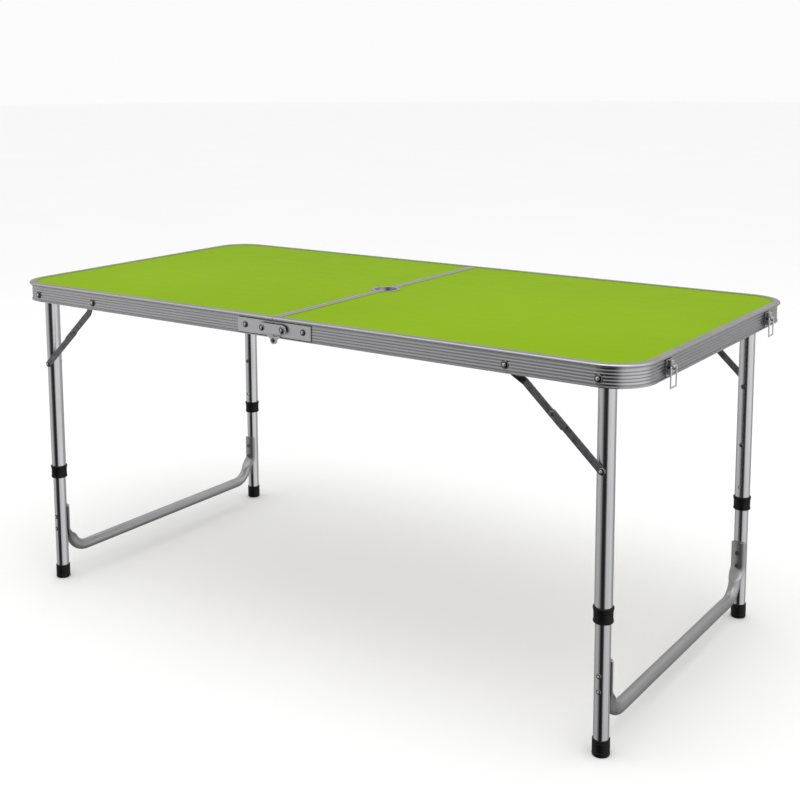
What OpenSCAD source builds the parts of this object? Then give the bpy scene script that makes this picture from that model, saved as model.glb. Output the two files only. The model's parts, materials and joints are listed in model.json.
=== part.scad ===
/* [Top] */
// Length of the open table from end lip to end lip
table_l = 1200; // [1190:5:1240]
// Depth of the table from lip to lip
table_w = 600; // [590:5:640]
// Height of the table top at the lowest leg setting
table_h = 550; // [545:1:556]
// Outside radius of the four corners
corner_r = 62; // [56:1:70]
// Thickness of the laminated board
board_t = 3.5; // [3.2:0.1:3.6]
// Radius of the parasol hole in the middle of the seam
parasol_r = 19; // [17:0.5:20]
// Gap between the two halves at the seam
seam_gap = 0.8; // [0.6:0.1:1.2]

/* [Rail] */
// Height of the edge rail
rail_h = 32; // [31:0.5:33]
// How far the web stands back from the lip
web_in = 5; // [4.8:0.1:5.2]
// Thickness of the rail's web
web_t = 1.5; // [1.3:0.1:1.6]
// Number of raised flutes along the web
flutes = 5; // [4:1:5]

/* [Legs] */
// Distance of a leg's pivot from the middle of the table
leg_x = 542; // [535:1:542]
// Distance of a leg's axis from the middle line
leg_y = 266; // [265.8:0.1:266.2]
// Height of the leg and brace pivots above the floor
pivot_z = 530; // [529.5:0.1:530.4]
// Outside radius of the upper leg tube
upper_r = 12.5; // [12.4:0.05:12.5]
// Outside radius of the lower leg tube
lower_r = 11; // [10.9:0.05:11]
// Spacing of the height settings
height_step = 72.5; // [70:0.5:75]
// Height of the snap button above the floor
button_z = 302.5; // [300:0.5:305]

/* [Braces] */
// Distance along the rail from leg pivot to brace pivot
brace_a = 138; // [134:1:142]
// Distance down the leg from leg pivot to brace rivet
brace_b = 128; // [124:1:130]
// Width of a brace strap
strap_w = 11; // [10.5:0.5:14]
// Thickness of a brace strap
strap_t = 2; // [1.6:0.1:2]

/* [Hardware] */
// Half the distance between the two lock studs
stud_x = 19.8; // [19:0.1:21]
// Distance of each latch from the middle line
latch_y = 195; // [170:1:205]

/* [Hidden] */
$fn = 48;
eps = 0.5;
half_l = table_l / 2;
half_w = table_w / 2;
seam_x = seam_gap / 2;

// Rail section, measured inwards from the lip and down from the table top
bead_r = 2.2;
flange_in = 12;
flange_t = 1;
ledge_in = 18;
ledge_t = 1.2;
flute_h = 0.6;
flute_w = 3.8;
flute_slope = 1.5;
flute_top = 7.5;
foot_lip_in = 3.4;
foot_lip_h = 2.5;
inner_bead = 2;
web_face = half_w - web_in + flute_h;
web_inner = half_w - web_in - web_t;
ledge_z = -flange_t - board_t;
flute_pitch = (rail_h - flute_top - foot_lip_h) / flutes;

// Radial clearance of a turning fit, and the side gap between moving faces
fit = 0.08;
side_gap = 0.3;

// Fasteners
leg_pin_r = 3;
brace_pin_r = 2.5;
stretcher_pin_r = 2.2;
stretcher_head_r = 3.8;
stretcher_head_h = 1.8;
stretcher_tail_h = 1.2;
brace_head_r = 5.2;
brace_head_h = 1.8;
rivet_head_r = 6;
rivet_head_h = 2.2;
spacer_r = 5.5;

// Legs
upper_bore = lower_r + fit;
lower_bore = lower_r - 1.2;
upper_top = pivot_z + 7.5;
upper_bottom = 192;
lower_top = 395;
lower_bottom = 4;
collar_top = 212;
collar_r = 13.8;
collar_flare = 0.7;
collar_lip = 2;
cap_r = 12.4;
cap_h = 24;
button_r = 3.5;
button_out = 2.2;
button_travel = 3;
tube_inner_y = leg_y - upper_r;
tube_outer_y = leg_y + upper_r;

// Stretcher, a round bar bent to a U between the lower tubes
stretcher_r = 9.5;
stretcher_y = 245.2;
stretcher_z = 45;
stretcher_bend = 36;
flat_top = 134;
flat_w = 23;
flat_t = 4;
flat_y = leg_y - lower_r - 0.2 - flat_t;
stretcher_rivet_z = [94, 116];
tab_margin = 6;
joint_slice = 0.1;

// Braces: the links fold flat because their lengths differ by brace_a - brace_b
brace_d = sqrt(brace_a * brace_a + brace_b * brace_b);
brace_tilt = atan2(brace_b, brace_a);
upper_link_l = (brace_d - brace_a + brace_b) / 2;
lower_link_l = (brace_d + brace_a - brace_b) / 2;
brace_x = leg_x - brace_a;
brace_rivet_z = pivot_z - brace_b;
link_tail = 28;
lower_link_y = tube_outer_y + 0.6;
upper_link_y = lower_link_y + strap_t + side_gap;
link_root_y = web_inner - inner_bead - 0.5 - strap_t;
joggle_start = 15;
joggle_end = 33;

// Centre hinge: its axis lies just under the rails so that the undersides meet
hinge_z = table_h - rail_h - 3.5;
plate_l = 72;
plate_t = 1.5;
plate_low = table_h - rail_h + foot_lip_h + 0.3;
plate_high = table_h - 6.4;
lobe_r = 6;
neck_x = 14;
hinge_pin_r = 2;
knuckle_y = web_face + plate_t + side_gap;
stud_z = 533;
stud_r = 2.5;
stud_head_r = 5.2;
stud_head_h = 1.6;
stud_shoulder_r = 4.2;
knuckle_head_r = 3.8;
knuckle_head_h = 1.5;
knuckle_tail_h = 1.4;
outer_rivet_x = 57;
hook_y = half_w + side_gap;
hook_t = 1.8;
hook_r = 7.5;
slot_slack = 0.6;

// Draw latches and their catches
latch_pin_z = 527;
latch_pin_x = half_l + 1;
latch_pin_r = 1.2;
bail_x = half_l + 3.2;
bail_z = 534;
bail_r = 1.1;
bail_half_w = 9.5;
bail_drop = 28;
curl_r = 2.2;
lever_half_w = 5.2;
lever_top = 541;
ear_in = 5.75;
ear_t = 1.5;

// Carry handle on the other end
handle_half_w = 52;
handle_x = half_l + 0.4;
handle_z = 533;
handle_drop = 26;
handle_arm_r = 3;
handle_bar_r = 5;

// Stands a piece that is drawn at the back right on any side and face of the table
module place(side, face) {
    mirror([side < 0 ? 1 : 0, 0, 0])
        mirror([0, face < 0 ? 1 : 0, 0])
            children();
}

// A round bar along Y from y0 to y1
module bar_y(r, y0, y1) {
    translate([0, y0, 0])
        rotate([-90, 0, 0])
            cylinder(r = r, h = y1 - y0);
}

// A domed rivet along Y, with its head against y_face and its tail against y_tail
module rivet(shank_r, y_tail, y_face, head_r = rivet_head_r, head_h = rivet_head_h, tail_h = 1.5) {
    tail_r = shank_r + 1.2;
    rotate([-90, 0, 0])
        rotate_extrude()
            polygon(concat(
                [[0, y_tail - tail_h], [tail_r, y_tail - tail_h], [tail_r, y_tail]],
                [[shank_r, y_tail], [shank_r, y_face]],
                [for (a = [0:15:90]) [head_r * cos(a), y_face + head_h * sin(a)]]
            ));
}

// ---- Edge rails, boards and seam ----

function flute_points(i) = let (z = -flute_top - i * flute_pitch) [
    [-web_in, z],
    [-web_in + flute_h, z - flute_slope],
    [-web_in + flute_h, z - flute_w + flute_slope],
    [-web_in, z - flute_w]
];

rail_section = concat(
    [[-flange_in, 0]],
    [for (a = [90:-22.5:-90]) [-bead_r + bead_r * cos(a), -bead_r + bead_r * sin(a)]],
    [[-web_in, -2 * bead_r - 1]],
    [for (i = [0:flutes - 1]) each flute_points(i)],
    [[-web_in, -rail_h + foot_lip_h], [-foot_lip_in, -rail_h + foot_lip_h - 1]],
    [[-foot_lip_in, -rail_h], [-web_in - web_t - inner_bead, -rail_h]],
    [[-web_in - web_t - inner_bead, -rail_h + ledge_t], [-web_in - web_t, -rail_h + ledge_t]],
    [[-web_in - web_t, ledge_z - ledge_t], [-ledge_in, ledge_z - ledge_t], [-ledge_in, ledge_z]],
    [[-web_in - web_t, ledge_z], [-web_in - web_t, -flange_t], [-flange_in, -flange_t]]
);

module rail_side() {
    translate([seam_x, half_w, table_h])
        rotate([90, 0, 90])
            linear_extrude(half_l - corner_r - seam_x)
                polygon(rail_section);
}

module rail_corner() {
    translate([half_l - corner_r, half_w - corner_r, table_h])
        rotate_extrude(angle = 90, $fn = 96)
            translate([corner_r, 0])
                polygon(rail_section);
}

module rail_end() {
    translate([half_l, half_w - corner_r, table_h])
        rotate([90, 0, 0])
            linear_extrude(2 * (half_w - corner_r))
                polygon(rail_section);
}

// The holes for every rivet that passes through one side of a rail
module rail_side_holes() {
    translate([leg_x, 0, pivot_z])
        bar_y(leg_pin_r, web_inner - eps, half_w);
    translate([brace_x, 0, pivot_z])
        bar_y(brace_pin_r, web_inner - eps, half_w);
    for (x = [stud_x, outer_rivet_x])
        translate([x, 0, stud_z])
            bar_y(stud_r, web_inner - eps, half_w);
    translate([-eps, half_w - web_in, table_h - rail_h - eps])
        cube([neck_x + 1 + eps, web_in + eps, foot_lip_h + 1 + eps]);
}

module rail(side) {
    color("silver")
        place(side, 1)
            difference() {
                union() {
                    rail_side();
                    rail_corner();
                    rail_end();
                    mirror([0, 1, 0]) {
                        rail_side();
                        rail_corner();
                    }
                }
                rail_side_holes();
                mirror([0, 1, 0])
                    rail_side_holes();
            }
}

module left_rail() rail(-1);
module right_rail() rail(1);

module board(side) {
    board_x = half_l - web_in - web_t;
    board_y = web_inner;
    board_r = corner_r - web_in - web_t;
    board_start = seam_x + flange_t;
    color("yellowgreen")
        place(side, 1)
            translate([0, 0, table_h + ledge_z])
                difference() {
                    linear_extrude(board_t)
                        union() {
                            translate([board_start, -board_y])
                                square([board_x - board_r - board_start, 2 * board_y]);
                            translate([board_start, -board_y + board_r])
                                square([board_x - board_start, 2 * (board_y - board_r)]);
                            for (s = [-1, 1])
                                translate([board_x - board_r, s * (board_y - board_r)])
                                    circle(r = board_r, $fn = 96);
                        }
                    translate([0, 0, -eps])
                        cylinder(r = parasol_r + 1.2, h = board_t + 2 * eps, $fn = 96);
                }
}

module left_board() board(-1);
module right_board() board(1);

rim_flange_r = parasol_r + 6;

// The aluminium channel that closes the board's edge at the seam
module seam_trim(side) {
    trim_w = 7;
    top_y = half_w - flange_in;
    low_y = half_w - ledge_in - 0.5;
    color("silver")
        place(side, 1)
            difference() {
                union() {
                    translate([seam_x, -top_y, table_h - flange_t])
                        cube([trim_w, 2 * top_y, flange_t]);
                    translate([seam_x, -top_y, table_h + ledge_z])
                        cube([flange_t, 2 * top_y, board_t + flange_t]);
                    translate([seam_x, -low_y, table_h + ledge_z - flange_t])
                        cube([trim_w - 1, 2 * low_y, flange_t]);
                }
                translate([0, 0, table_h - 10])
                    cylinder(r = rim_flange_r, h = 20, $fn = 96);
            }
}

module left_seam_trim() seam_trim(-1);
module right_seam_trim() seam_trim(1);

// Half of the flanged ring that lines the parasol hole
module hole_rim(side) {
    rim_depth = 9;
    rim_wall = 1.2;
    color("gainsboro")
        place(side, 1)
            difference() {
                translate([0, 0, table_h])
                    rotate_extrude($fn = 96)
                        polygon([
                            [parasol_r, -rim_depth],
                            [parasol_r + rim_wall, -rim_depth],
                            [parasol_r + rim_wall, -flange_t],
                            [rim_flange_r, -flange_t],
                            [rim_flange_r, 0],
                            [parasol_r, 0]
                        ]);
                translate([-2 * rim_flange_r + seam_x, -rim_flange_r - 1, table_h - 2 * rim_depth])
                    cube([2 * rim_flange_r, 2 * rim_flange_r + 2, 3 * rim_depth]);
            }
}

module left_hole_rim() hole_rim(-1);
module right_hole_rim() hole_rim(1);

// ---- Rivets and spacers on the rails ----

module rail_rivets(side) {
    color("gainsboro")
        for (face = [-1, 1])
            place(side, face) {
                translate([leg_x, 0, pivot_z])
                    rivet(leg_pin_r, tube_inner_y - side_gap, web_face);
                translate([brace_x, 0, pivot_z])
                    rivet(brace_pin_r, link_root_y - side_gap, web_face);
                translate([outer_rivet_x, 0, stud_z])
                    rivet(stud_r, web_inner, web_face + plate_t, stud_head_r, stud_head_h);
            }
}

module left_rail_rivets() rail_rivets(-1);
module right_rail_rivets() rail_rivets(1);

// A sleeve on a rivet, between the web and the piece that turns
module spacer(pin_r, y0, y1) {
    difference() {
        bar_y(spacer_r, y0, y1);
        bar_y(pin_r, y0 - eps, y1 + eps);
    }
}

module pivot_spacers(side) {
    color("dimgray")
        for (face = [-1, 1])
            place(side, face) {
                translate([leg_x, 0, pivot_z])
                    spacer(leg_pin_r, tube_outer_y + side_gap, web_inner - 1.2);
                translate([brace_x, 0, pivot_z])
                    spacer(brace_pin_r, link_root_y + strap_t + side_gap, web_inner);
            }
}

module left_pivot_spacers() pivot_spacers(-1);
module right_pivot_spacers() pivot_spacers(1);

// ---- Centre hinge and its lock ----

module plate_holes() {
    for (x = [stud_x, outer_rivet_x])
        translate([x, 0, stud_z])
            bar_y(stud_r, web_face - eps, web_face + plate_t + eps);
}

// The flat strap of a hinge plate
module plate_strap() {
    difference() {
        translate([seam_x, web_face, plate_low])
            cube([plate_l - seam_x, plate_t, plate_high - plate_low]);
        plate_holes();
    }
}

// The lobe that carries the pivot, from y0 outwards
module plate_lobe(y0, bore_r) {
    difference() {
        union() {
            translate([0, 0, hinge_z])
                bar_y(lobe_r, y0, y0 + plate_t);
            translate([0, y0 + plate_t, 0])
                rotate([90, 0, 0])
                    linear_extrude(plate_t)
                        polygon([
                            [seam_x, plate_low + 1],
                            [seam_x, hinge_z],
                            [lobe_r, hinge_z],
                            [neck_x, plate_low],
                            [neck_x, plate_low + 1]
                        ]);
        }
        translate([0, 0, hinge_z])
            bar_y(bore_r, y0 - eps, y0 + plate_t + eps);
    }
}

module left_hinge_plates() {
    color("gray")
        for (face = [-1, 1])
            place(-1, face) {
                plate_strap();
                difference() {
                    plate_lobe(web_face, hinge_pin_r);
                    translate([-eps, web_face - eps, plate_low])
                        cube([plate_l, 3 * plate_t, 5]);
                }
            }
}

module right_hinge_plates() {
    step_x = lobe_r + 2;
    color("gray")
        for (face = [-1, 1])
            place(1, face) {
                plate_strap();
                difference() {
                    plate_lobe(knuckle_y, hinge_pin_r + fit);
                    translate([-eps, knuckle_y - eps, plate_low])
                        cube([step_x + eps, 3 * plate_t, 5]);
                }
                translate([step_x, web_face, plate_low - 2])
                    cube([neck_x - step_x, knuckle_y - web_face, 2]);
            }
}

module hinge_pins() {
    color("gainsboro")
        for (face = [-1, 1])
            place(-1, face)
                translate([0, 0, hinge_z])
                    rivet(
                        hinge_pin_r, web_face, knuckle_y + plate_t + 0.1,
                        knuckle_head_r, knuckle_head_h, knuckle_tail_h
                    );
}

// A shouldered stud whose head stands in front of the lock hook
module lock_studs(side) {
    stud_head_y = hook_y + hook_t + side_gap;
    color("gainsboro")
        for (face = [-1, 1])
            place(side, face)
                translate([stud_x, 0, stud_z]) {
                    rivet(stud_r, web_inner, stud_head_y, stud_head_r, stud_head_h);
                    difference() {
                        bar_y(stud_shoulder_r, web_face + plate_t, hook_y - side_gap);
                        bar_y(stud_r, web_face, hook_y);
                    }
                }
}

module left_lock_studs() lock_studs(-1);
module right_lock_studs() lock_studs(1);

// A flat hook that turns on the left stud and drops over the right one
module lock_hook(face) {
    slot_r = stud_r + slot_slack;
    reach = 2 * stud_x;
    color("darkgray")
        place(1, face)
            translate([-stud_x, hook_y + hook_t, stud_z])
                rotate([90, 0, 0])
                    difference() {
                        linear_extrude(hook_t)
                            union() {
                                circle(r = hook_r);
                                translate([reach, 0])
                                    circle(r = hook_r);
                                translate([0, -hook_r])
                                    square([reach, 2 * hook_r]);
                            }
                        translate([0, 0, -eps])
                            cylinder(r = stud_r + fit, h = hook_t + 2 * eps);
                        translate([reach, 0, -eps])
                            cylinder(r = slot_r, h = hook_t + 2 * eps);
                        translate([reach, 0, -eps])
                            linear_extrude(hook_t + 2 * eps)
                                polygon([
                                    [-slot_r, 0],
                                    [slot_r, 0],
                                    [slot_r + 2.6, -hook_r - 1],
                                    [-slot_r + 1, -hook_r - 1]
                                ]);
                    }
}

module front_lock_hook() lock_hook(-1);
module back_lock_hook() lock_hook(1);

// ---- Latches, catches and handle ----

module at_latch(face) {
    translate([0, face * latch_y, 0])
        children();
}

module latch_bases() {
    plate_half = 10;
    color("silver")
        for (face = [-1, 1])
            at_latch(face) {
                translate([half_l - web_in + flute_h, -plate_half, plate_low])
                    cube([plate_t, 2 * plate_half, plate_high - plate_low]);
                for (s = [-1, 1])
                    difference() {
                        translate([
                            half_l - web_in + flute_h + plate_t,
                            s < 0 ? -ear_in - ear_t : ear_in,
                            latch_pin_z - 3.5
                        ])
                            cube([6.5, ear_t, 8]);
                        translate([latch_pin_x, 0, latch_pin_z])
                            bar_y(latch_pin_r, -plate_half, plate_half);
                    }
                translate([latch_pin_x, 0, latch_pin_z])
                    bar_y(latch_pin_r, -ear_in - ear_t - 0.5, ear_in + ear_t + 0.5);
                for (z = [plate_low + 2.6, plate_high - 2.6])
                    translate([half_l - web_in + flute_h + plate_t, 0, z])
                        rotate([0, 90, 0])
                            cylinder(r1 = 2.2, r2 = 1.4, h = 0.9);
            }
}

module latch_lever(face) {
    color("gainsboro")
        at_latch(face)
            difference() {
                union() {
                    translate([latch_pin_x, 0, latch_pin_z])
                        bar_y(2.4, -lever_half_w, lever_half_w);
                    translate([latch_pin_x - 0.6, -lever_half_w, latch_pin_z])
                        cube([1.5, 2 * lever_half_w, lever_top - latch_pin_z]);
                    translate([bail_x, 0, bail_z])
                        bar_y(curl_r, -lever_half_w, lever_half_w);
                    translate([latch_pin_x + 0.1, 0, lever_top])
                        bar_y(1.3, -lever_half_w, lever_half_w);
                }
                translate([latch_pin_x, 0, latch_pin_z])
                    bar_y(latch_pin_r + fit, -plate_l, plate_l);
                translate([bail_x, 0, bail_z])
                    bar_y(bail_r + fit, -plate_l, plate_l);
            }
}

module front_latch_lever() latch_lever(-1);
module back_latch_lever() latch_lever(1);

module latch_bail(face) {
    color("gainsboro")
        at_latch(face)
            translate([bail_x, 0, 0])
                union() {
                    for (z = [bail_z, bail_z - bail_drop])
                        translate([0, 0, z])
                            bar_y(bail_r, -bail_half_w, bail_half_w);
                    for (s = [-1, 1])
                        translate([0, s * bail_half_w, bail_z - bail_drop]) {
                            cylinder(r = bail_r, h = bail_drop);
                            sphere(r = bail_r);
                            translate([0, 0, bail_drop])
                                sphere(r = bail_r);
                        }
                }
}

module front_latch_bail() latch_bail(-1);
module back_latch_bail() latch_bail(1);

// The upturned catches that the bails pull on when the table is shut
module latch_catches() {
    catch_half = 8;
    shelf_z = 526;
    shelf_out = 6;
    face_x = half_l - web_in + flute_h;
    color("silver")
        for (face = [-1, 1])
            place(-1, 1)
                at_latch(face) {
                    translate([face_x, -catch_half, plate_low])
                        cube([plate_t, 2 * catch_half, plate_high - plate_low]);
                    translate([face_x + plate_t, -catch_half + 2, shelf_z])
                        cube([shelf_out, 2 * catch_half - 4, 1.5]);
                    translate([face_x + shelf_out, -catch_half + 2, shelf_z + 1.5])
                        cube([plate_t, 2 * catch_half - 4, 4.5]);
                    for (z = [plate_low + 2, plate_high - 3])
                        translate([face_x + plate_t, 0, z])
                            rotate([0, 90, 0])
                                cylinder(r1 = 2.2, r2 = 1.4, h = 0.9);
                }
}

module handle_brackets() {
    bracket_w = 12;
    face_x = half_l - web_in + flute_h;
    cheek_out = handle_x + handle_arm_r + 1 - face_x;
    color("dimgray")
        place(-1, 1)
            for (s = [-1, 1])
                difference() {
                    translate([face_x, s * handle_half_w - bracket_w / 2, handle_z - 6])
                        cube([cheek_out, bracket_w, 12]);
                    translate([face_x + plate_t, s * handle_half_w - 3.6, handle_z - 7])
                        cube([cheek_out, 7.2, 14]);
                    translate([handle_x, 0, handle_z])
                        bar_y(1.5 + fit, -half_w / 2, half_w / 2);
                }
}

module handle_grip() {
    color("black")
        place(-1, 1)
            translate([handle_x, 0, handle_z])
                union() {
                    for (s = [-1, 1])
                        translate([0, s * handle_half_w, -handle_drop]) {
                            cylinder(r = handle_arm_r, h = handle_drop + 1);
                            translate([0, 0, handle_drop])
                                bar_y(1.5, -6, 6);
                        }
                    translate([0, 0, -handle_drop])
                        bar_y(handle_bar_r, -handle_half_w - handle_bar_r, handle_half_w + handle_bar_r);
                }
}

// ---- Legs ----

module upper_leg(side, face) {
    color("silver")
        place(side, face)
            translate([leg_x, leg_y, 0])
                difference() {
                    translate([0, 0, upper_bottom])
                        cylinder(r = upper_r, h = upper_top - upper_bottom);
                    translate([0, 0, upper_bottom - eps])
                        cylinder(r = upper_bore, h = upper_top - upper_bottom + 2 * eps);
                    translate([0, 0, pivot_z])
                        bar_y(leg_pin_r + fit, -2 * upper_r, 2 * upper_r);
                    translate([0, 0, brace_rivet_z])
                        bar_y(brace_pin_r, -2 * upper_r, 2 * upper_r);
                    for (z = [button_z, button_z - height_step])
                        translate([0, 0, z])
                            bar_y(button_r + fit, -2 * upper_r, 0);
                }
}

module left_front_upper_leg() upper_leg(-1, -1);
module left_back_upper_leg() upper_leg(-1, 1);
module right_front_upper_leg() upper_leg(1, -1);
module right_back_upper_leg() upper_leg(1, 1);

module leg_collars(side) {
    color("black")
        for (face = [-1, 1])
            place(side, face)
                translate([leg_x, leg_y, 0])
                    rotate_extrude()
                        polygon([
                            [lower_r + side_gap, upper_bottom - collar_lip],
                            [collar_r - 0.6, upper_bottom - collar_lip],
                            [collar_r, upper_bottom - collar_lip + 0.8],
                            [collar_r, collar_top - 5],
                            [collar_r + collar_flare, collar_top - 4],
                            [collar_r + collar_flare, collar_top - 0.8],
                            [collar_r, collar_top],
                            [upper_r, collar_top],
                            [upper_r, upper_bottom],
                            [lower_r + side_gap, upper_bottom]
                        ]);
}

module left_leg_collars() leg_collars(-1);
module right_leg_collars() leg_collars(1);

module lower_leg(side, face) {
    color("silver")
        place(side, face)
            translate([leg_x, leg_y, 0])
                difference() {
                    translate([0, 0, lower_bottom])
                        cylinder(r = lower_r, h = lower_top - lower_bottom);
                    translate([0, 0, lower_bottom - eps])
                        cylinder(r = lower_bore, h = lower_top - lower_bottom + 2 * eps);
                    for (z = [button_z, button_z + height_step])
                        translate([0, 0, z])
                            bar_y(button_r + side_gap, -2 * lower_r, 0);
                    for (z = stretcher_rivet_z)
                        translate([0, 0, z])
                            bar_y(stretcher_pin_r, -2 * lower_r, 2 * lower_r);
                }
}

module left_front_lower_leg() lower_leg(-1, -1);
module left_back_lower_leg() lower_leg(-1, 1);
module right_front_lower_leg() lower_leg(1, -1);
module right_back_lower_leg() lower_leg(1, 1);

module feet(side) {
    color("black")
        for (face = [-1, 1])
            place(side, face)
                translate([leg_x, leg_y, 0])
                    rotate_extrude()
                        polygon([
                            [0, 0],
                            [cap_r - 1.2, 0],
                            [cap_r, 1.2],
                            [cap_r, cap_h - 0.8],
                            [cap_r - 0.5, cap_h],
                            [lower_r, cap_h],
                            [lower_r, lower_bottom],
                            [0, lower_bottom]
                        ]);
}

module left_feet() feet(-1);
module right_feet() feet(1);

// One end of the stretcher: the flattened tab, its blend into the round bar, and the bend
module stretcher_end() {
    tab_z = stretcher_rivet_z[0] - tab_margin;
    bend_z = stretcher_z + stretcher_bend;
    difference() {
        translate([-flat_w / 2, flat_y, tab_z])
            cube([flat_w, flat_t, flat_top - tab_z]);
        for (z = stretcher_rivet_z)
            translate([0, 0, z])
                bar_y(stretcher_pin_r, flat_y - eps, flat_y + flat_t + eps);
    }
    hull() {
        translate([-flat_w / 2, flat_y, tab_z - joint_slice])
            cube([flat_w, flat_t, 2 * joint_slice]);
        translate([0, stretcher_y, bend_z - joint_slice])
            cylinder(r = stretcher_r, h = 2 * joint_slice, $fn = 32);
    }
    translate([0, stretcher_y - stretcher_bend, bend_z])
        rotate([90, 0, 90])
            rotate_extrude(angle = -90)
                translate([stretcher_bend, 0])
                    circle(r = stretcher_r, $fn = 32);
}

module stretcher(side) {
    run_y = stretcher_y - stretcher_bend;
    color("silver")
        place(side, 1)
            translate([leg_x, 0, 0])
                union() {
                    stretcher_end();
                    mirror([0, 1, 0])
                        stretcher_end();
                    translate([0, 0, stretcher_z])
                        bar_y(stretcher_r, -run_y, run_y);
                }
}

module left_stretcher() stretcher(-1);
module right_stretcher() stretcher(1);

module stretcher_rivets(side) {
    color("gainsboro")
        for (face = [-1, 1])
            place(side, face)
                for (z = stretcher_rivet_z)
                    translate([leg_x, 0, z])
                        rivet(
                            stretcher_pin_r, flat_y, leg_y + lower_r,
                            stretcher_head_r, stretcher_head_h, stretcher_tail_h
                        );
}

module left_stretcher_rivets() stretcher_rivets(-1);
module right_stretcher_rivets() stretcher_rivets(1);

// The rivets that carry the lower links on the legs
module brace_rivets(side) {
    color("gainsboro")
        for (face = [-1, 1])
            place(side, face)
                translate([leg_x, 0, brace_rivet_z])
                    rivet(
                        brace_pin_r, tube_inner_y, lower_link_y + strap_t + 0.2,
                        brace_head_r, brace_head_h
                    );
}

module left_brace_rivets() brace_rivets(-1);
module right_brace_rivets() brace_rivets(1);

// The bent leaf inside each lower tube that pushes the button out
module button_springs(side) {
    leaf_w = 6;
    leaf_t = 0.6;
    leaf_base = button_z - 34;
    wall_y = leg_y + 9.3;
    tip_y = leg_y - lower_r + button_travel + 0.6;
    color("steelblue")
        for (face = [-1, 1])
            place(side, face)
                translate([leg_x - leaf_w / 2, 0, 0])
                    rotate([90, 0, 90])
                        linear_extrude(leaf_w)
                            polygon([
                                [wall_y, button_z + 4],
                                [wall_y, leaf_base],
                                [wall_y - 3, leaf_base - 3],
                                [wall_y - 6, leaf_base],
                                [tip_y, button_z + 4],
                                [tip_y + leaf_t, button_z + 4],
                                [wall_y - 6 + leaf_t, leaf_base + 0.6],
                                [wall_y - 3, leaf_base - 2.2],
                                [wall_y - leaf_t, leaf_base + 0.4],
                                [wall_y - leaf_t, button_z + 4]
                            ]);
}

module left_button_springs() button_springs(-1);
module right_button_springs() button_springs(1);

module button(side, face) {
    nose = lower_r + 0.35;
    outer = upper_r + button_out;
    color("gray")
        place(side, face)
            translate([leg_x, leg_y, button_z])
                rotate([90, 0, 0])
                    rotate_extrude()
                        polygon([
                            [0, nose],
                            [button_r, nose],
                            [button_r, outer - 1.2],
                            [button_r - 0.5, outer - 0.4],
                            [button_r - 1.5, outer],
                            [0, outer]
                        ]);
}

module left_front_button() button(-1, -1);
module left_back_button() button(-1, 1);
module right_front_button() button(1, -1);
module right_back_button() button(1, 1);

// ---- Braces ----

// A strap with round ends, from one pivot to a tail beyond the other, drawn in the XY plane
module strap_outline(length, tail) {
    half = strap_w / 2;
    union() {
        circle(r = half);
        translate([length + tail - half, 0])
            circle(r = half);
        translate([0, -half])
            square([length + tail - half, strap_w]);
    }
}

// Turns the XY plane into the XZ plane, so that a plate of thickness t fills y0 to y0 + t
module upright(y0, t) {
    translate([0, y0 + t, 0])
        rotate([90, 0, 0])
            linear_extrude(t)
                children();
}

module upper_link(side, face) {
    reach = upper_link_l + link_tail;
    half = strap_w / 2;
    color("dimgray")
        place(side, face)
            translate([brace_x, 0, pivot_z])
                rotate([0, brace_tilt, 0]) {
                    difference() {
                        intersection() {
                            upright(upper_link_y - 2, link_root_y + strap_t - upper_link_y + 4)
                                strap_outline(upper_link_l, link_tail);
                            translate([0, 0, -half - 1])
                                linear_extrude(strap_w + 2)
                                    polygon([
                                        [-half - 1, link_root_y],
                                        [joggle_start, link_root_y],
                                        [joggle_end, upper_link_y],
                                        [reach + 1, upper_link_y],
                                        [reach + 1, upper_link_y + strap_t],
                                        [joggle_end + 1, upper_link_y + strap_t],
                                        [joggle_start + 1, link_root_y + strap_t],
                                        [-half - 1, link_root_y + strap_t]
                                    ]);
                        }
                        bar_y(brace_pin_r + fit, upper_link_y, web_inner);
                        translate([upper_link_l, 0, 0])
                            bar_y(brace_pin_r, upper_link_y - eps, upper_link_y + strap_t + eps);
                    }
                    translate([upper_link_l, 0, 0])
                        rotate([-90, 0, 0])
                            rotate_extrude()
                                polygon(concat(
                                    [[0, upper_link_y], [brace_pin_r, upper_link_y]],
                                    [[brace_pin_r, upper_link_y + strap_t]],
                                    [for (a = [0:15:90]) [
                                        4.2 * cos(a),
                                        upper_link_y + strap_t + 1.8 * sin(a)
                                    ]]
                                ));
                    translate([upper_link_l + 8, upper_link_y + strap_t, half - 3.5])
                        cube([3.5, 1.2, 2.5]);
                }
}

module left_front_upper_link() upper_link(-1, -1);
module left_back_upper_link() upper_link(-1, 1);
module right_front_upper_link() upper_link(1, -1);
module right_back_upper_link() upper_link(1, 1);

module lower_link(side, face) {
    half = strap_w / 2;
    color("dimgray")
        place(side, face)
            translate([leg_x, 0, brace_rivet_z])
                rotate([0, brace_tilt + 180, 0])
                    difference() {
                        upright(lower_link_y, strap_t)
                            strap_outline(lower_link_l, half);
                        bar_y(brace_pin_r + fit, lower_link_y - eps, lower_link_y + strap_t + eps);
                    }
}

module left_front_lower_link() lower_link(-1, -1);
module left_back_lower_link() lower_link(-1, 1);
module right_front_lower_link() lower_link(1, -1);
module right_back_lower_link() lower_link(1, 1);

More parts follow.
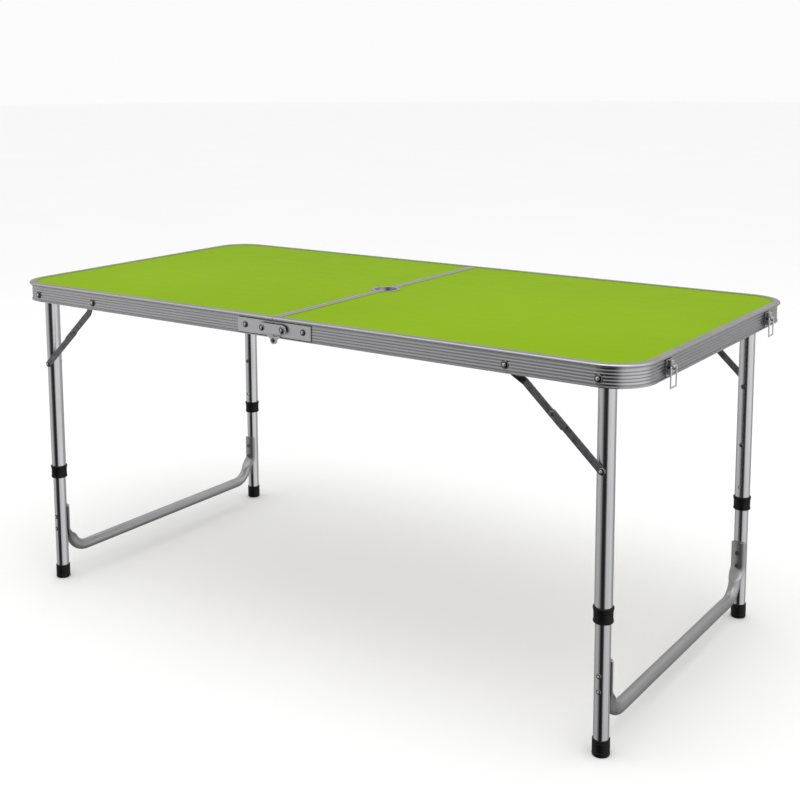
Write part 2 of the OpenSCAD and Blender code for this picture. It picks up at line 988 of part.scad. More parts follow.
left_rail();
left_board();
left_seam_trim();
left_hole_rim();
left_rail_rivets();
left_pivot_spacers();
left_hinge_plates();
left_lock_studs();
hinge_pins();
latch_catches();
handle_brackets();
right_rail();
right_board();
right_seam_trim();
right_hole_rim();
right_rail_rivets();
right_pivot_spacers();
right_hinge_plates();
right_lock_studs();
latch_bases();
front_lock_hook();
back_lock_hook();
front_latch_lever();
back_latch_lever();
front_latch_bail();
back_latch_bail();
handle_grip();
left_front_upper_leg();
left_back_upper_leg();
right_front_upper_leg();
right_back_upper_leg();
left_leg_collars();
right_leg_collars();
left_front_lower_leg();
left_back_lower_leg();
right_front_lower_leg();
right_back_lower_leg();
left_feet();
right_feet();
left_stretcher();
right_stretcher();
left_stretcher_rivets();
right_stretcher_rivets();
left_brace_rivets();
right_brace_rivets();
left_button_springs();
right_button_springs();
left_front_upper_link();
left_back_upper_link();
right_front_upper_link();
right_back_upper_link();
left_front_lower_link();
left_back_lower_link();
right_front_lower_link();
right_back_lower_link();
left_front_button();
left_back_button();
right_front_button();
right_back_button();
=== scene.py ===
"""Folding picnic table: studio, camera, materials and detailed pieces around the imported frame."""

import json
import math

import bmesh
import bpy
from mathutils import Matrix, Vector


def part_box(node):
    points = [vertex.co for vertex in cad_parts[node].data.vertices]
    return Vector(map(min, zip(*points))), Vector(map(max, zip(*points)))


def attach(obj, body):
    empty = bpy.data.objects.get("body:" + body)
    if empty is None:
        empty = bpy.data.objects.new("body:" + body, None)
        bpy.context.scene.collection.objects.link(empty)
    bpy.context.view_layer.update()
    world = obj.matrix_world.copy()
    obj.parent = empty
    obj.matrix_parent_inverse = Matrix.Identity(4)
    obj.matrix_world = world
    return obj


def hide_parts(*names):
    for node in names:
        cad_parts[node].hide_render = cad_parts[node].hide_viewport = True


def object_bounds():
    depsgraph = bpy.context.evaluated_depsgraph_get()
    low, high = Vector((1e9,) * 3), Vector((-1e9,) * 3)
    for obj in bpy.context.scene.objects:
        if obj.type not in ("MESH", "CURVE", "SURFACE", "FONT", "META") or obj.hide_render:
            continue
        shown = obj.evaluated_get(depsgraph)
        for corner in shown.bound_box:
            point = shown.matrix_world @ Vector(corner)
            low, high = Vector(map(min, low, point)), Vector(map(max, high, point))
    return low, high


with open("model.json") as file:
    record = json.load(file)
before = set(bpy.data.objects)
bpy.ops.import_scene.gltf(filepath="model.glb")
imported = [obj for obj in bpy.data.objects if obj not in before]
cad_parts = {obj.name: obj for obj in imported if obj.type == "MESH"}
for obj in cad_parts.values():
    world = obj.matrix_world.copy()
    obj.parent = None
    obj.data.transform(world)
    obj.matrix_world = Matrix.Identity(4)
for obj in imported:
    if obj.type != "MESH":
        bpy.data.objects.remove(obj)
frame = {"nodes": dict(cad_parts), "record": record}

CAD_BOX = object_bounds()
SIDES = ("left", "right")

# ---- Camera: where it stands and how it looks at the table, in metres and radians ----
CAMERA_PLACE = Vector((1.2408, -1.7587, 0.9313))
CAMERA_TURN = -0.6096
CAMERA_TILT = -0.1370
CAMERA_ROLL = -0.0043
CAMERA_LENS = 57.39
CAMERA_SHIFT = (0.0106, -0.20)


def make_camera():
    forward = Vector((
        math.sin(CAMERA_TURN) * math.cos(CAMERA_TILT),
        math.cos(CAMERA_TURN) * math.cos(CAMERA_TILT),
        math.sin(CAMERA_TILT),
    ))
    right = Vector((math.cos(CAMERA_TURN), -math.sin(CAMERA_TURN), 0.0))
    up = right.cross(forward)
    rolled_right = right * math.cos(CAMERA_ROLL) + up * math.sin(CAMERA_ROLL)
    rolled_up = up * math.cos(CAMERA_ROLL) - right * math.sin(CAMERA_ROLL)
    turn = Matrix((rolled_right, rolled_up, -forward)).transposed()
    data = bpy.data.cameras.new("camera")
    data.lens = CAMERA_LENS
    data.sensor_width = 36.0
    data.shift_x, data.shift_y = CAMERA_SHIFT
    camera = bpy.data.objects.new("camera", data)
    camera.matrix_world = Matrix.Translation(CAMERA_PLACE) @ turn.to_4x4()
    bpy.context.scene.collection.objects.link(camera)
    bpy.context.scene.camera = camera


# ---- Node helpers ----
class Graph:
    """A short way to add and join nodes in one tree."""

    def __init__(self, tree):
        self.tree = tree
        tree.nodes.clear()

    def add(self, kind, links=None, **settings):
        node = self.tree.nodes.new(kind)
        for key, value in settings.items():
            setattr(node, key, value)
        for socket, source in (links or {}).items():
            self.feed(node.inputs[socket], source)
        return node

    def feed(self, socket, source):
        if isinstance(source, bpy.types.NodeSocket):
            self.tree.links.new(source, socket)
        else:
            socket.default_value = source

    def math(self, operation, first, second=0.0):
        node = self.add("ShaderNodeMath", operation=operation)
        self.feed(node.inputs[0], first)
        self.feed(node.inputs[1], second)
        return node.outputs[0]

    def ramp(self, value, stops, smooth=False):
        node = self.add("ShaderNodeValToRGB", {"Fac": value})
        node.color_ramp.interpolation = "EASE" if smooth else "LINEAR"
        elements = node.color_ramp.elements
        while len(elements) < len(stops):
            elements.new(0.5)
        for element, (place, color) in zip(elements, stops):
            element.position = place
            element.color = color if len(color) == 4 else (*color, 1.0)
        return node.outputs["Color"]

    def remap(self, value, low, high, to_low, to_high):
        node = self.add("ShaderNodeMapRange", {
            "Value": value, "From Min": low, "From Max": high, "To Min": to_low, "To Max": to_high,
        })
        return node.outputs["Result"]

    def mix(self, factor, first, second):
        node = self.add("ShaderNodeMix", data_type="RGBA")
        self.feed(node.inputs[0], factor)
        self.feed(node.inputs[6], first)
        self.feed(node.inputs[7], second)
        return node.outputs[2]

    def noise(self, place, scale, detail=4.0, stretch=(1.0, 1.0, 1.0), roughness=0.55):
        mapped = self.add("ShaderNodeMapping", {"Vector": place, "Scale": stretch})
        node = self.add("ShaderNodeTexNoise", {
            "Vector": mapped.outputs[0], "Scale": scale, "Detail": detail, "Roughness": roughness,
        })
        return node.outputs["Fac"]

    def painted_corner_shade(self, reach):
        """Painted shade mask: 1 in tight corners, such as round a rivet head or behind a plate, and 0 in
        the open.
        """
        shade = self.add("ShaderNodeAmbientOcclusion", {"Distance": reach}, samples=6)
        return self.remap(shade.outputs["AO"], 0.80, 0.25, 0.0, 1.0)

    def edge_mask(self, radius):
        """1 on sharp edges and 0 on flat faces."""
        soft = self.add("ShaderNodeBevel", {"Radius": radius}, samples=4)
        hard = self.add("ShaderNodeNewGeometry")
        dot = self.add("ShaderNodeVectorMath", operation="DOT_PRODUCT")
        self.feed(dot.inputs[0], soft.outputs[0])
        self.feed(dot.inputs[1], hard.outputs["Normal"])
        return self.remap(dot.outputs["Value"], 0.995, 0.93, 0.0, 1.0)


def gray(value, tint=0.0):
    return (value, value, value * (1.0 + tint), 1.0)


def new_material(name):
    material = bpy.data.materials.new(name)
    material.use_nodes = True
    graph = Graph(material.node_tree)
    shader = graph.add("ShaderNodeBsdfPrincipled")
    output = graph.add("ShaderNodeOutputMaterial")
    graph.feed(output.inputs["Surface"], shader.outputs[0])
    place = graph.add("ShaderNodeTexCoord").outputs["Object"]
    return material, graph, shader, place


def bump(graph, shader, height, strength, distance):
    node = graph.add("ShaderNodeBump", {"Height": height, "Strength": strength, "Distance": distance})
    graph.feed(shader.inputs["Normal"], node.outputs[0])


# ---- Materials ----
# How far painted shade reaches out of a corner, on most metal and round the hinge plates' gaps
CORNER_SHADE_REACH = 0.003
PLATE_SHADE_REACH = 0.009
# Width of the rubbed edges
METAL_RUB = 0.0006
PART_RUB = 0.0007
LIME_DARK = (0.225, 0.383, 0.001)
LIME_LIGHT = (0.248, 0.417, 0.002)
LIME_PEARL = (0.28, 0.45, 0.008, 1.0)
LIME_SCUFF = (0.34, 0.50, 0.05, 1.0)
PAPER_DARK = (0.46, 0.44, 0.40)
PAPER_LIGHT = (0.60, 0.58, 0.53)
SPRING_DARK = (0.16, 0.19, 0.25, 1.0)
SPRING_LIGHT = (0.26, 0.29, 0.36, 1.0)


def drawn_metal(name, dark, light, stretch, rough, grain_depth, smudge=0.06, edge=None):
    """Metal with drawing lines along one direction, faint smudges, painted shade in corners and brighter
    rubbed edges.
    """
    material, graph, shader, place = new_material(name)
    lines = graph.noise(place, 1.0, 5.0, stretch)
    fine = graph.noise(place, 1.0, 2.0, tuple(3.7 * s for s in stretch))
    grain = graph.math("MULTIPLY", graph.math("ADD", lines, fine), 0.5)
    smears = graph.noise(place, 14.0, 6.0)
    tone = graph.ramp(grain, [(0.32, dark), (0.68, light)])
    worn_and_shaded = graph.mix(graph.remap(smears, 0.45, 0.75, 0.0, smudge), tone, gray(0.30))
    # Painted shade: darkens the metal in tight corners, round rivet heads and behind plates.
    worn_and_shaded = graph.mix(graph.math("MULTIPLY", graph.painted_corner_shade(CORNER_SHADE_REACH), 0.85), worn_and_shaded, gray(0.03))
    if edge is not None:
        worn_and_shaded = graph.mix(graph.math("MULTIPLY", graph.edge_mask(METAL_RUB), 0.6), worn_and_shaded, edge)
    graph.feed(shader.inputs["Base Color"], worn_and_shaded)
    shader.inputs["Metallic"].default_value = 1.0
    rubbed = graph.math("ADD", graph.math("MULTIPLY", grain, 0.5), graph.math("MULTIPLY", smears, 0.5))
    graph.feed(shader.inputs["Roughness"], graph.remap(rubbed, 0.3, 0.7, *rough))
    bump(graph, shader, grain, 0.35, grain_depth)
    return material


def green_laminate():
    """Printed melamine on board: lime face with fine texture and light scuffs, pale paper beneath."""
    material, graph, shader, place = new_material("green_laminate")
    cloud = graph.noise(place, 2.2, 3.0)
    grain = graph.noise(place, 420.0, 3.0)
    scuff = graph.noise(place, 30.0, 8.0, (1.0, 6.0, 1.0), 0.7)
    face = graph.ramp(cloud, [(0.3, LIME_DARK), (0.7, LIME_LIGHT)])
    face = graph.mix(graph.remap(grain, 0.55, 0.8, 0.0, 0.10), face, LIME_PEARL)
    face = graph.mix(graph.remap(scuff, 0.66, 0.80, 0.0, 0.10), face, LIME_SCUFF)
    normal = graph.add("ShaderNodeTexCoord").outputs["Normal"]
    height = graph.add("ShaderNodeSeparateXYZ", {"Vector": normal}).outputs["Z"]
    fibre = graph.noise(place, 260.0, 5.0)
    paper = graph.ramp(fibre, [(0.3, PAPER_DARK), (0.7, PAPER_LIGHT)])
    upward = graph.remap(height, -0.2, 0.2, 0.0, 1.0)
    graph.feed(shader.inputs["Base Color"], graph.mix(upward, paper, face))
    graph.feed(shader.inputs["Roughness"], graph.remap(scuff, 0.35, 0.75, 0.30, 0.46))
    shader.inputs["Specular IOR Level"].default_value = 0.01
    bump(graph, shader, grain, 0.10, 0.00006)
    return material


def moulded_plastic(name, tone, pale, rough, edge):
    """Moulded plastic with a fine spark-eroded grain, a little dust and rubbed edges."""
    material, graph, shader, place = new_material(name)
    grain = graph.noise(place, 900.0, 3.0)
    dust = graph.noise(place, 60.0, 6.0)
    base = graph.mix(graph.remap(dust, 0.5, 0.8, 0.0, 0.5), tone, pale)
    base = graph.mix(graph.math("MULTIPLY", graph.edge_mask(PART_RUB), 0.5), base, edge)
    graph.feed(shader.inputs["Base Color"], base)
    graph.feed(shader.inputs["Roughness"], graph.remap(dust, 0.3, 0.7, *rough))
    shader.inputs["Specular IOR Level"].default_value = 0.3
    bump(graph, shader, grain, 0.3, 0.00006)
    return material


def plated_steel(name, dark, light, rough, mottle_scale, edge, grain_depth=0.00004, shade_reach=CORNER_SHADE_REACH):
    """Plated steel strip: mottled plating, pits, rolling lines and bright edges."""
    material, graph, shader, place = new_material(name)
    mottle = graph.noise(place, mottle_scale, 7.0, roughness=0.68)
    speckle = graph.noise(place, 1400.0, 2.0)
    tone = graph.ramp(mottle, [(0.34, dark), (0.66, light)])
    tone = graph.mix(graph.remap(speckle, 0.55, 0.75, 0.0, 0.35), tone, light)
    tone = graph.mix(graph.math("MULTIPLY", graph.edge_mask(PART_RUB), 0.8), tone, edge)
    # Painted shade: darkens the plating in tight corners, round rivets and in the gap behind the hook
    # plates.
    tone = graph.mix(graph.math("MULTIPLY", graph.painted_corner_shade(shade_reach), 0.9), tone, gray(0.02))
    graph.feed(shader.inputs["Base Color"], tone)
    shader.inputs["Metallic"].default_value = 1.0
    graph.feed(shader.inputs["Roughness"], graph.remap(mottle, 0.3, 0.7, *rough))
    bump(graph, shader, graph.math("ADD", mottle, speckle), 0.35, grain_depth)
    return material


# Drawing lines: noise stretched along the direction in which each extrusion was drawn
ALONG_RAIL = (4.0, 4.0, 1500.0)
ALONG_SEAM = (1500.0, 4.0, 4.0)
ALONG_LEG = (1300.0, 1300.0, 5.0)
ALONG_BAR = (1300.0, 5.0, 1300.0)


def make_materials():
    return {
        "rail_aluminium": drawn_metal(
            "rail_aluminium", gray(0.50, 0.02), gray(0.66, 0.03), ALONG_RAIL, (0.20, 0.36),
            0.00004, 0.08, gray(0.9)),
        "green_laminate": green_laminate(),
        "trim_aluminium": drawn_metal(
            "trim_aluminium", gray(0.52, 0.02), gray(0.70, 0.02), ALONG_SEAM,
            (0.28, 0.42), 0.00004, 0.08, gray(0.9)),
        "tube_aluminium": drawn_metal(
            "tube_aluminium", gray(0.72, 0.02), gray(0.84, 0.02), ALONG_LEG, (0.12, 0.22),
            0.00002, 0.05, gray(0.9)),
        "stretcher_aluminium": drawn_metal(
            "stretcher_aluminium", gray(0.42, 0.02), gray(0.56, 0.02), ALONG_BAR,
            (0.32, 0.46), 0.00005, 0.10),
        "brace_steel": plated_steel(
            "brace_steel", gray(0.12, 0.05), gray(0.32, 0.05), (0.30, 0.52), 120.0, gray(0.70)),
        "plate_steel": plated_steel(
            "plate_steel", gray(0.80, 0.02), gray(0.94, 0.02), (0.34, 0.50), 160.0, gray(0.98),
            shade_reach=PLATE_SHADE_REACH),
        # Rivet and stud heads: their dark tone is painted reflection, standing in for the dark room that
        # the domes mirror.
        "rivet_steel": plated_steel(
            "rivet_steel", gray(0.10, 0.02), gray(0.22, 0.02), (0.14, 0.28), 300.0, gray(0.45), 0.00002),
        # The latch wire's own bright tone; on the rivet mandrels and stud pins this brightness is a painted
        # highlight.
        "wire_steel": plated_steel(
            "wire_steel", gray(0.86, 0.02), gray(0.96, 0.02), (0.22, 0.36), 260.0, gray(0.98), 0.00002),
        "spring_steel": plated_steel(
            "spring_steel", SPRING_DARK, SPRING_LIGHT, (0.22, 0.38), 200.0, gray(0.7)),
        "black_plastic": moulded_plastic(
            "black_plastic", gray(0.0015), gray(0.006), (0.42, 0.58), gray(0.02)),
        "spacer_plastic": moulded_plastic(
            "spacer_plastic", gray(0.55), gray(0.66), (0.36, 0.52), gray(0.75)),
    }


# ---- Studio ----
# Tone of the room by bearing, in degrees from the front towards the right: soft boxes and dark flags
ROOM_TONES = (
    (-180, 0.46), (-120, 0.40), (-70, 0.62), (-44, 0.56), (-26, 0.34), (-8, 0.035), (16, 0.012), (31, 0.05),
    (50, 0.78), (112, 0.90), (145, 0.42), (180, 0.46),
)
# Share of the wall's tone by height: dim below the table, full at eye level
FLOOR_SHARE = 0.42
BACKGROUND = 0.97
CEILING = 0.95
# Heights of a ray's direction between which the wall turns to ceiling, and below which it dims to the floor
CEILING_BLEND = (0.35, 0.75)
FLOOR_BLEND = (-0.75, -0.12)
FLOOR_RADIUS = 30.0
FLOOR_GAP = 0.0002
SOFT_BOX_PLACE = (0.4, -0.6, 3.0)
SOFT_BOX_TARGET = (0.0, 0.0, 0.3)
SOFT_BOX_SIZE = (2.6, 2.0)
SOFT_BOX_WATTS = 22.0


def make_world():
    world = bpy.data.worlds.new("studio")
    world.use_nodes = True
    graph = Graph(world.node_tree)
    way = graph.add("ShaderNodeTexCoord").outputs["Generated"]
    parts = graph.add("ShaderNodeSeparateXYZ", {"Vector": way}).outputs
    bearing = graph.math("ARCTAN2", parts["X"], graph.math("MULTIPLY", parts["Y"], -1.0))
    turn = graph.remap(bearing, -math.pi, math.pi, 0.0, 1.0)
    walls = graph.ramp(turn, [((angle + 180) / 360, gray(tone)) for angle, tone in ROOM_TONES], True)
    overhead = graph.remap(parts["Z"], *CEILING_BLEND, 0.0, 1.0)
    share = graph.remap(parts["Z"], *FLOOR_BLEND, FLOOR_SHARE, 1.0)
    shaded = graph.mix(share, gray(0.0), walls)
    room = graph.mix(overhead, shaded, gray(CEILING))
    mirrored = graph.add("ShaderNodeLightPath").outputs["Is Glossy Ray"]
    lit = graph.add("ShaderNodeBackground", {"Color": graph.mix(mirrored, gray(BACKGROUND), room)})
    output = graph.add("ShaderNodeOutputWorld")
    graph.feed(output.inputs["Surface"], lit.outputs[0])
    bpy.context.scene.world = world


def make_floor():
    mesh = bpy.data.meshes.new("floor")
    shape = bmesh.new()
    bmesh.ops.create_circle(shape, cap_ends=True, radius=FLOOR_RADIUS, segments=96)
    shape.to_mesh(mesh)
    shape.free()
    floor = bpy.data.objects.new("floor", mesh)
    floor.location.z = CAD_BOX[0].z - FLOOR_GAP
    floor.visible_glossy = False
    material, graph, shader, place = new_material("pale_floor")
    tone = graph.ramp(graph.noise(place, 1.5, 3.0), [(0.3, gray(0.98)), (0.7, gray(0.99))])
    graph.feed(shader.inputs["Base Color"], tone)
    shader.inputs["Roughness"].default_value = 0.9
    mesh.materials.append(material)
    bpy.context.scene.collection.objects.link(floor)


def soft_box(name, place, target, size, power):
    data = bpy.data.lights.new(name, "AREA")
    data.shape = "RECTANGLE"
    data.size, data.size_y = size
    data.energy = power
    light = bpy.data.objects.new(name, data)
    light.location = place
    light.rotation_euler = (Vector(target) - Vector(place)).to_track_quat("-Z", "Y").to_euler()
    light.visible_camera = False
    bpy.context.scene.collection.objects.link(light)


# ---- Detailed pieces that stand for plain CAD nodes ----
TURN_STEPS = 48
BAR_RADIUS = 0.0095
BAR_BEND = 0.036
BAR_IN = 0.2452
TAB_HALF_THICK = 0.002
SADDLE_RADIUS = 0.0132
SADDLE_TURN = math.radians(60)
LOWER_TUBE_RADIUS = 0.011
UPPER_TUBE_RADIUS = 0.0125
LOWER_TUBE_END = 0.004
UPPER_TUBE_END = 0.192
SKIN_GAP = 0.0001
EDGE_ROUND = 0.00025
# Feet: depth of the hollow tread, of the ring in it, and of the grooves round the side
TREAD_DEEP = 0.0016
TREAD_SHALLOW = 0.0008
FOOT_GROOVE = 0.0005
# Collars: how far the waist and the bottom rim stand in from the top lip
COLLAR_WAIST = 0.0010
COLLAR_RIM = 0.0004
# The bar's pressed ends: where they start and end beside the bend, and how far their tip is rounded
FLAT_START = 0.010
FLAT_END = 0.016
TAB_TIP = 0.004
TAB_TIP_BLUNT = 0.02
TAB_TIP_STEPS = 8
TAB_STEPS = 21
BEND_STEPS = 20
BAR_CREASE = 0.9
# Power of the superellipse across the bar: where it is round, and what flattening adds
ROUND_POWER = 2.0
FLAT_POWER = 5.0
# Share of flatness above which a tab's tip is narrowed
TAB_FLATNESS = 0.9
# Rivets and hook studs
PIN_SHARE = 0.21
PIN_PROUD = 0.0006
PIN_DEEP = 0.0008
STUD_HEAD = 0.0052
STUD_HEAD_H = 0.0016
STUD_SHANK = 0.0025
STUD_SHOULDER = 0.0042
STUD_SHOULDER_FROM = 0.0040
STUD_SHOULDER_TO = 0.0069
STUD_TAIL = 0.0037
STUD_TAIL_FROM = 0.0105
STUD_TAIL_TO = 0.0120
STUD_DISH = 0.0026
STUD_DISH_DEEP = 0.0011
STUD_CROWN = 0.00005


def finish_piece(name, shape, body, slot, nodes=(), round_edge=None, crease=0.6):
    """Makes a bmesh a piece: smooth shading, the material of its slot, parenting to its body, and hiding
    the CAD nodes that it stands for.
    """
    bmesh.ops.recalc_face_normals(shape, faces=shape.faces)
    mesh = bpy.data.meshes.new(name)
    shape.to_mesh(mesh)
    shape.free()
    mesh.polygons.foreach_set("use_smooth", [True] * len(mesh.polygons))
    mesh.set_sharp_from_angle(angle=crease)
    mesh.materials.append(MATERIALS[slot])
    piece = bpy.data.objects.new(name, mesh)
    bpy.context.scene.collection.objects.link(piece)
    if round_edge:
        soft = piece.modifiers.new("rounded edges", "BEVEL")
        soft.width = round_edge
        soft.segments = 3
        soft.limit_method = "ANGLE"
        soft.angle_limit = crease
    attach(piece, body)
    if nodes:
        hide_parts(*nodes)


def ring_of(shape, points):
    return [shape.verts.new(point) for point in points]


def bridge(shape, first, second):
    count = len(first)
    for i in range(count):
        k = (i + 1) % count
        shape.faces.new((first[i], first[k], second[k], second[i]))


def lathe(shape, profile, centre, axis="Z", sign=1.0):
    """Turns (radius, height) pairs round the Z or Y axis through centre; radius 0 closes to a point."""
    rings = []
    for radius, height in profile:
        if radius < 1e-6:
            angles = [0.0]
        else:
            angles = [2 * math.pi * k / TURN_STEPS for k in range(TURN_STEPS)]
        points = []
        for angle in angles:
            across, over = radius * math.cos(angle), radius * math.sin(angle)
            if axis == "Z":
                points.append(Vector((centre[0] + across, centre[1] + over, centre[2] + sign * height)))
            else:
                points.append(Vector((centre[0] + across, centre[1] + sign * height, centre[2] + over)))
        rings.append(ring_of(shape, points))
    for first, second in zip(rings, rings[1:]):
        if len(first) == 1 and len(second) == 1:
            continue
        if len(first) == 1 or len(second) == 1:
            point, ring = (first[0], second) if len(first) == 1 else (second[0], first)
            for i in range(len(ring)):
                shape.faces.new((point, ring[i], ring[(i + 1) % len(ring)]))
        else:
            bridge(shape, first, second)


def leg_axes(node):
    """Two upright axes, radius, lowest and highest z of a node with one round piece on each leg."""
    low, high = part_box(node)
    radius = (high[0] - low[0]) / 2
    x = (high[0] + low[0]) / 2
    return ((x, low[1] + radius), (x, high[1] - radius)), radius, low[2], high[2]


def make_feet(side):
    """Moulded caps with a hollow tread, a parting groove and a lip round the top."""
    node = f"{side}_feet"
    axes, radius, low, high = leg_axes(node)
    height = high - low
    wall = LOWER_TUBE_RADIUS + SKIN_GAP
    groove = FOOT_GROOVE
    profile = [
        (0.0, TREAD_DEEP), (0.40 * radius, TREAD_DEEP), (0.46 * radius, 0.0), (0.62 * radius, 0.0),
        (0.66 * radius, TREAD_SHALLOW), (0.72 * radius, TREAD_SHALLOW), (0.76 * radius, 0.0),
        (0.92 * radius, 0.0), (radius, 0.0012),
        (radius, 0.24 * height), (radius - groove, 0.26 * height), (radius - groove, 0.30 * height),
        (radius, 0.32 * height), (radius, 0.80 * height), (radius - groove, 0.82 * height),
        (radius - groove, 0.86 * height), (radius, 0.88 * height), (radius, height - 0.0006),
        (radius - 0.0006, height), (wall, height), (wall, LOWER_TUBE_END), (0.0, LOWER_TUBE_END),
    ]
    shape = bmesh.new()
    for x, y in axes:
        lathe(shape, profile, (x, y, low))
    finish_piece(f"{side}_moulded_feet", shape, f"{side}_extension", "black_plastic", [node], EDGE_ROUND)


def make_collars(side):
    """Moulded collars, waisted between a flared top lip and a bottom rim, on the upper tubes' ends."""
    node = f"{side}_leg_collars"
    axes, radius, low, high = leg_axes(node)
    height = high - low
    waist = radius - COLLAR_WAIST
    rim = radius - COLLAR_RIM
    bore = LOWER_TUBE_RADIUS + SKIN_GAP
    mouth = UPPER_TUBE_RADIUS + SKIN_GAP
    step = UPPER_TUBE_END - low
    profile = [
        (bore, 0.0), (rim - 0.0006, 0.0), (rim, 0.0008), (rim, 0.0026), (waist + 0.0002, 0.0038),
        (waist, 0.20 * height), (waist, 0.66 * height), (waist + 0.0003, 0.74 * height),
        (radius, 0.88 * height), (radius, height - 0.0007), (radius - 0.0006, height),
        (mouth + 0.0002, height), (mouth, height - 0.0006), (mouth, step), (bore, step), (bore, 0.0),
    ]
    shape = bmesh.new()
    for x, y in axes:
        lathe(shape, profile, (x, y, low))
    bmesh.ops.remove_doubles(shape, verts=shape.verts, dist=1e-6)
    finish_piece(f"{side}_moulded_collars", shape, f"{side}_legs", "black_plastic", [node], EDGE_ROUND)


def smooth_step(value):
    value = min(1.0, max(0.0, value))
    return value * value * (3.0 - 2.0 * value)


def bar_section(flat, half_w, half_t):
    """Outline across the bar: a circle where flat is 0, a thin saddle round the leg where it is 1."""
    points = []
    power = ROUND_POWER + FLAT_POWER * flat
    for k in range(TURN_STEPS):
        angle = 2 * math.pi * k / TURN_STEPS
        c, s = math.cos(angle), math.sin(angle)
        across = half_w * math.copysign(abs(c) ** (2.0 / power), c)
        out = half_t * math.copysign(abs(s) ** (2.0 / power), s)
        turn = across / SADDLE_RADIUS
        curved_across = (SADDLE_RADIUS - out) * math.sin(turn)
        curved_out = SADDLE_RADIUS - (SADDLE_RADIUS - out) * math.cos(turn)
        points.append((
            across * (1 - flat) + curved_across * flat,
            out * (1 - flat) + curved_out * flat,
        ))
    return points


def make_stretcher(side):
    """A round tube bent to a U, its ends pressed flat and curved round the lower legs."""
    node = f"{side}_stretcher"
    low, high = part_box(node)
    x = (low[0] + high[0]) / 2
    tab_half = SADDLE_RADIUS * SADDLE_TURN
    tab_y = high[1] - TAB_HALF_THICK
    run_z = low[2] + BAR_RADIUS
    bend_z = run_z + BAR_BEND
    flat_from = bend_z + FLAT_START
    flat_to = bend_z - FLAT_END
    path = []
    for k in range(TAB_TIP_STEPS + 1):
        share = k / TAB_TIP_STEPS
        narrow = math.sqrt(max(TAB_TIP_BLUNT, 1 - (1 - share) ** 4))
        path.append((high[2] - TAB_TIP * share * share, narrow))
    for k in range(1, TAB_STEPS + 1):
        path.append((high[2] - TAB_TIP - (high[2] - TAB_TIP - bend_z) * k / TAB_STEPS, 1.0))
    shape = bmesh.new()
    rings = []

    def stage_of(z):
        flat = smooth_step((z - flat_to) / (flat_from - flat_to))
        wide = tab_half * flat + BAR_RADIUS * (1 - flat)
        thick = TAB_HALF_THICK * flat + BAR_RADIUS * (1 - flat)
        return flat, wide, thick

    half = []
    for z, narrow in path:
        flat, wide, thick = stage_of(z)
        y = tab_y * flat + BAR_IN * (1 - flat)
        half.append((y, z, 0.0, flat, wide * (narrow if flat > TAB_FLATNESS else 1.0), thick))
    for k in range(1, BEND_STEPS + 1):
        angle = math.pi / 2 * k / BEND_STEPS
        y = BAR_IN - BAR_BEND + BAR_BEND * math.cos(angle)
        z = bend_z - BAR_BEND * math.sin(angle)
        flat, wide, thick = stage_of(z)
        drift = (tab_y - BAR_IN) * flat
        half.append((y + drift, z, angle, flat, wide, thick))
    for side_y in (1.0, -1.0):
        stations = half if side_y > 0 else reversed(half)
        for y, z, angle, flat, wide, thick in stations:
            outward = Vector((0.0, side_y * math.cos(angle), -math.sin(angle)))
            centre = Vector((x, side_y * y, z))
            points = [
                centre + Vector((across, 0.0, 0.0)) + outward * out
                for across, out in bar_section(flat, wide, thick)
            ]
            rings.append(ring_of(shape, points))
    for first, second in zip(rings, rings[1:]):
        bridge(shape, first, second)
    shape.faces.new(rings[0])
    shape.faces.new(rings[-1])
    finish_piece(
        f"{side}_bent_stretcher", shape, f"{side}_extension", "stretcher_aluminium", [node],
        crease=BAR_CREASE)


def islands(node):
    """The corners (lowest, highest) of each separate solid of a CAD node."""
    shape = bmesh.new()
    shape.from_mesh(frame["nodes"][node].data)
    bmesh.ops.remove_doubles(shape, verts=shape.verts, dist=1e-6)
    boxes = []
    seen = set()
    for start in shape.verts:
        if start in seen:
            continue
        stack = [start]
        points = []
        seen.add(start)
        while stack:
            vertex = stack.pop()
            points.append(vertex.co.copy())
            for edge in vertex.link_edges:
                other = edge.other_vert(vertex)
                if other not in seen:
                    seen.add(other)
                    stack.append(other)
        low = Vector([min(p[i] for p in points) for i in range(3)])
        high = Vector([max(p[i] for p in points) for i in range(3)])
        boxes.append((low, high))
    shape.free()
    return sorted(boxes, key=lambda b: tuple(round(c, 5) for c in b[0]))


def make_mandrels(node, body):
    """The dome of the snapped pin in the middle of each blind rivet's head, in a bright tone that is a
    painted highlight.
    """
    shape = bmesh.new()
    for low, high in islands(node):
        centre = (low + high) / 2
        outer = 1.0 if centre.y > 0 else -1.0
        y = high.y if outer > 0 else low.y
        radius = PIN_SHARE * (high.x - low.x)
        profile = [
            (0.0, PIN_PROUD), (0.40 * radius, 0.92 * PIN_PROUD), (0.72 * radius, 0.65 * PIN_PROUD),
            (0.92 * radius, 0.30 * PIN_PROUD), (radius, 0.0), (radius, -PIN_DEEP), (0.0, -PIN_DEEP),
        ]
        lathe(shape, profile, (centre.x, y, centre.z), "Y", outer)
    finish_piece(f"{node}_mandrels", shape, body, "wire_steel")


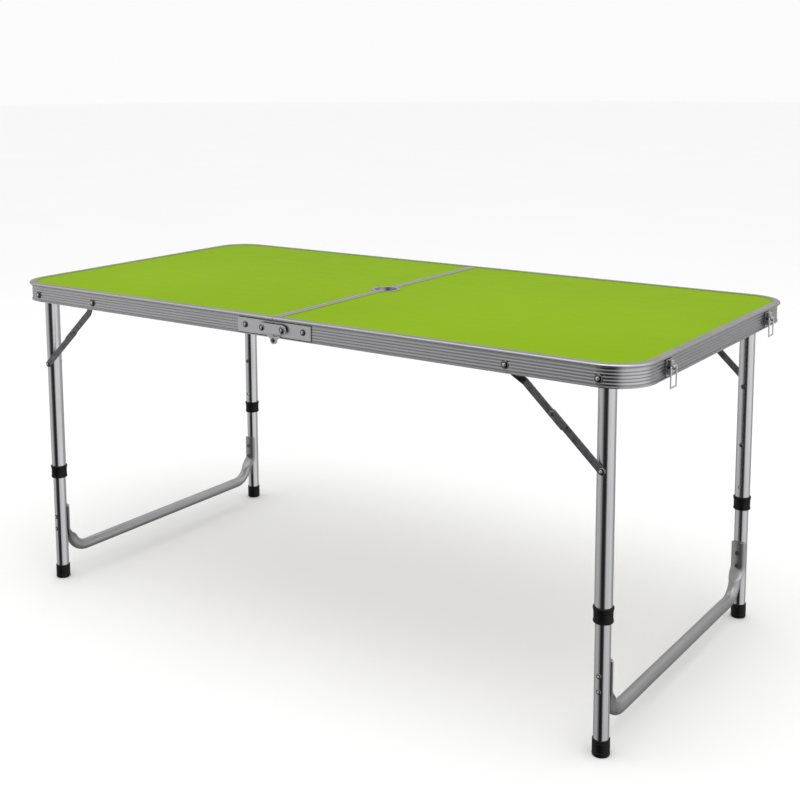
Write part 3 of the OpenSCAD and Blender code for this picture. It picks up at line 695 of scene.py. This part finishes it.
def make_studs(side):
    """The hook studs: a turned head with a dished middle and a pin in a bright tone that is a painted
    highlight, the shoulder and the tail.
    """
    turned = [
        (0.0, -STUD_DISH_DEEP), (STUD_DISH, -STUD_DISH_DEEP), (0.0030, -0.0003), (0.0033, -STUD_CROWN),
        (0.0040, -0.0003), (0.0046, -0.0008), (0.0050, -0.0012), (STUD_HEAD, -STUD_HEAD_H),
        (STUD_SHANK, -STUD_HEAD_H), (STUD_SHANK, -STUD_SHOULDER_FROM), (STUD_SHOULDER, -STUD_SHOULDER_FROM),
        (STUD_SHOULDER, -STUD_SHOULDER_TO), (STUD_SHANK, -STUD_SHOULDER_TO), (STUD_SHANK, -STUD_TAIL_FROM),
        (STUD_TAIL, -STUD_TAIL_FROM), (STUD_TAIL, -STUD_TAIL_TO), (0.0, -STUD_TAIL_TO),
    ]
    pin = [
        (0.0, -STUD_CROWN), (0.0010, -0.00012), (0.0018, -0.0003), (0.0024, -0.0006),
        (STUD_DISH, -STUD_DISH_DEEP), (0.0, -0.0012),
    ]
    heads = bmesh.new()
    pins = bmesh.new()
    for low, high in islands(f"{side}_lock_studs"):
        centre = (low + high) / 2
        outer = 1.0 if centre.y > 0 else -1.0
        tip = (centre.x, high.y if outer > 0 else low.y, centre.z)
        lathe(heads, turned, tip, "Y", outer)
        lathe(pins, pin, tip, "Y", outer)
    finish_piece(f"{side}_turned_studs", heads, f"{side}_half", "rivet_steel", [f"{side}_lock_studs"])
    finish_piece(f"{side}_stud_pins", pins, f"{side}_half", "wire_steel")


def dress(materials):
    slots = {part["node"]: part["material_slot"] for part in frame["record"]["subparts"]}
    for name, node in frame["nodes"].items():
        node.data.materials.clear()
        node.data.materials.append(materials[slots[name]])


scene = bpy.context.scene
scene.view_settings.view_transform = "Standard"
make_camera()
make_world()
make_floor()
soft_box("ceiling_box", SOFT_BOX_PLACE, SOFT_BOX_TARGET, SOFT_BOX_SIZE, SOFT_BOX_WATTS)
MATERIALS = make_materials()
dress(MATERIALS)
for side in SIDES:
    make_feet(side)
    make_collars(side)
    make_stretcher(side)
    make_mandrels(f"{side}_rail_rivets", f"{side}_half")
    make_studs(side)
    make_mandrels(f"{side}_stretcher_rivets", f"{side}_extension")
    make_mandrels(f"{side}_brace_rivets", f"{side}_legs")
